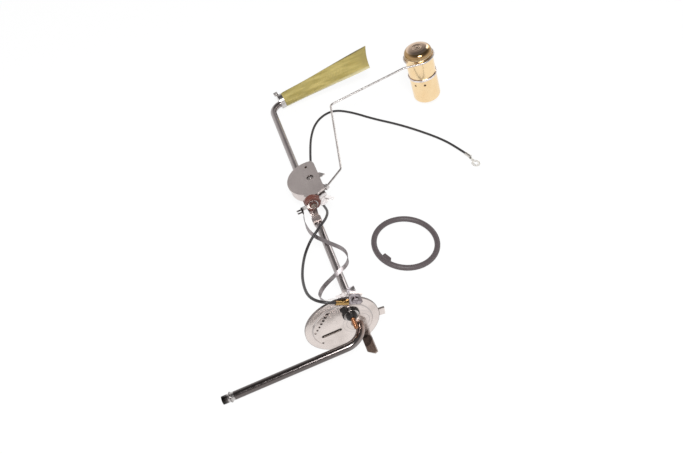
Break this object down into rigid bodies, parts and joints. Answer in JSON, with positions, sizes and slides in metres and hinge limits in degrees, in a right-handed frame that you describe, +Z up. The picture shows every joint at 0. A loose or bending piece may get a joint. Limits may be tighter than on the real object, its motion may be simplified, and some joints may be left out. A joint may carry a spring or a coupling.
{
  "type": "fuel tank sending unit",
  "caption": "Fuel level sender with pick-up tube, flanged disc, swinging float arm with brass float, strainer sleeve, ground lead and loose seal ring.",
  "frame": {"origin": "centre of the bounding box of all pieces but the ground lead and its ring terminal, on the surface the unit lies on", "axes": "+Z up from the surface the unit lies on; +Y about along the fuel tube from the mounting flange to the strainer; +X from the tube towards the float. The unit lies on its outlet end, its flange rim and its float, as in the picture"},
  "size_m": [0.3492, 0.4179, 0.0796],
  "materials": {
    "plated_steel": "satin zinc plate",
    "sender_steel": "satin plated sheet",
    "bright_steel": "bright plated",
    "arm_wire": "drawn wire, satin",
    "brass": "polished, a little tarnished",
    "braze": "dull copper braze",
    "black_insulator": "moulded, matt",
    "phenolic": "moulded phenolic, slightly glossy",
    "card": "fibre sheet",
    "resistance_wire": "fine wound wire",
    "dark_rivet": "dark oxide",
    "strap": "flat strip, dark satin",
    "strainer_mesh": "fine woven mesh",
    "lead_rubber": "smooth insulation",
    "tinned_steel": "tinned, satin",
    "seal_rubber": "moulded rubber"
  },
  "bodies": {
    "unit": {"mounting_flange": "plated_steel", "fuel_tube": "plated_steel", "tube_braze_ring": "braze", "outer_insulator": "black_insulator", "insulator_eyelet": "bright_steel", "insulator_dome": "black_insulator", "inner_insulator": "black_insulator", "inner_terminal": "bright_steel", "terminal_stud": "brass", "stud_nut": "bright_steel", "ground_plate": "bright_steel", "ground_crimp": "brass", "ground_rivet": "bright_steel", "tube_clamp": "sender_steel", "clamp_screw": "bright_steel", "clamp_nut": "bright_steel", "sender_case": "sender_steel", "sender_cover": "sender_steel", "sender_bracket": "sender_steel", "case_rivets": "bright_steel", "lower_tube_band": "sender_steel", "upper_tube_band": "sender_steel", "resistor_card": "card", "resistor_winding": "resistance_wire", "pivot_bush": "brass", "terminal_block": "phenolic", "terminal_rivet": "dark_rivet", "contact_clip": "bright_steel", "side_clip": "sender_steel", "contact_strap": "strap", "strainer_sleeve": "strainer_mesh", "strainer_collar": "bright_steel", "ground_lead": "lead_rubber", "ring_terminal": "tinned_steel", "flange_seal": "seal_rubber"},
    "arm": {"pivot_shaft": "arm_wire", "rotor_lever": "arm_wire", "wiper_spring": "arm_wire", "float_arm": "arm_wire"},
    "float": {"float_upper_shell": "brass", "float_lower_shell": "brass", "float_band": "brass"}
  },
  "joints": [
    {"name": "arm_swing", "type": "hinge", "parent": "unit", "child": "arm", "pos_m": [-0.03163, 0.0105, 0.03154], "axis": [-0.2491, 0.087, 0.9646], "range_deg": [-60, 0]},
    {"name": "float_spin", "type": "hinge", "parent": "arm", "child": "float", "pos_m": [0.14338, 0.1498, 0.06416], "axis": [-0.2491, 0.087, 0.9646], "continuous": true}
  ]
}
